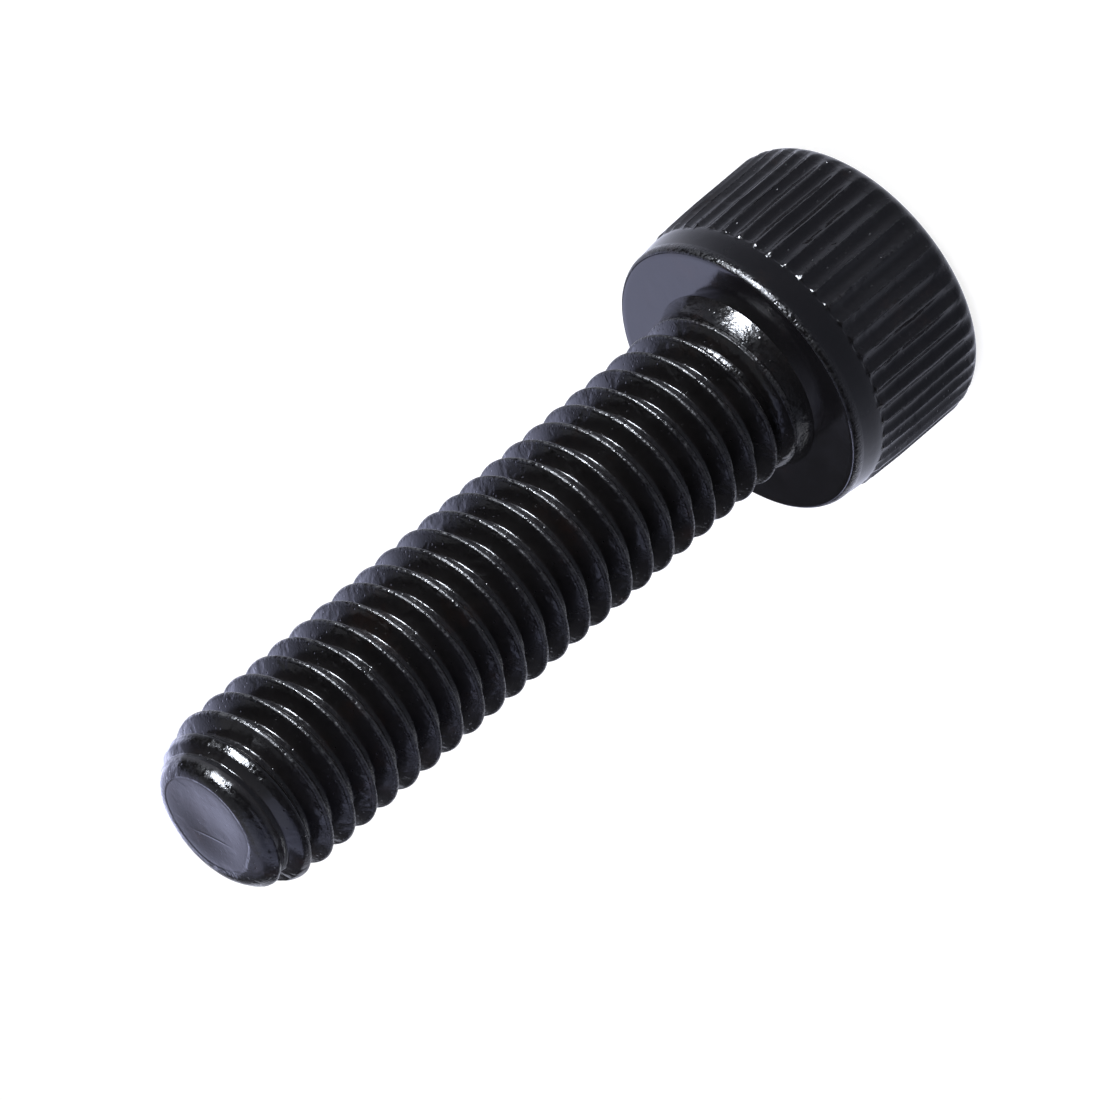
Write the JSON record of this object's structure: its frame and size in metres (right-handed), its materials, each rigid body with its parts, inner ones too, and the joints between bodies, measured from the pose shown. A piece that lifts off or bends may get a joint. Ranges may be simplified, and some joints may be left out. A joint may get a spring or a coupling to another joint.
{
  "type": "star drive cap screw",
  "caption": "Black cylindrical cap screw with a knurled head, star drive socket and right-hand metric thread, standing on its head.",
  "frame": {"origin": "centre of the bearing face under the head", "axes": "+Z along the shank towards the point; the screw stands on the top of its head"},
  "size_m": [0.0084, 0.0084, 0.025],
  "materials": {
    "black_oxide": "black oxide, lightly oiled"
  },
  "bodies": {
    "root": {"screw": "black_oxide"}
  },
  "joints": []
}
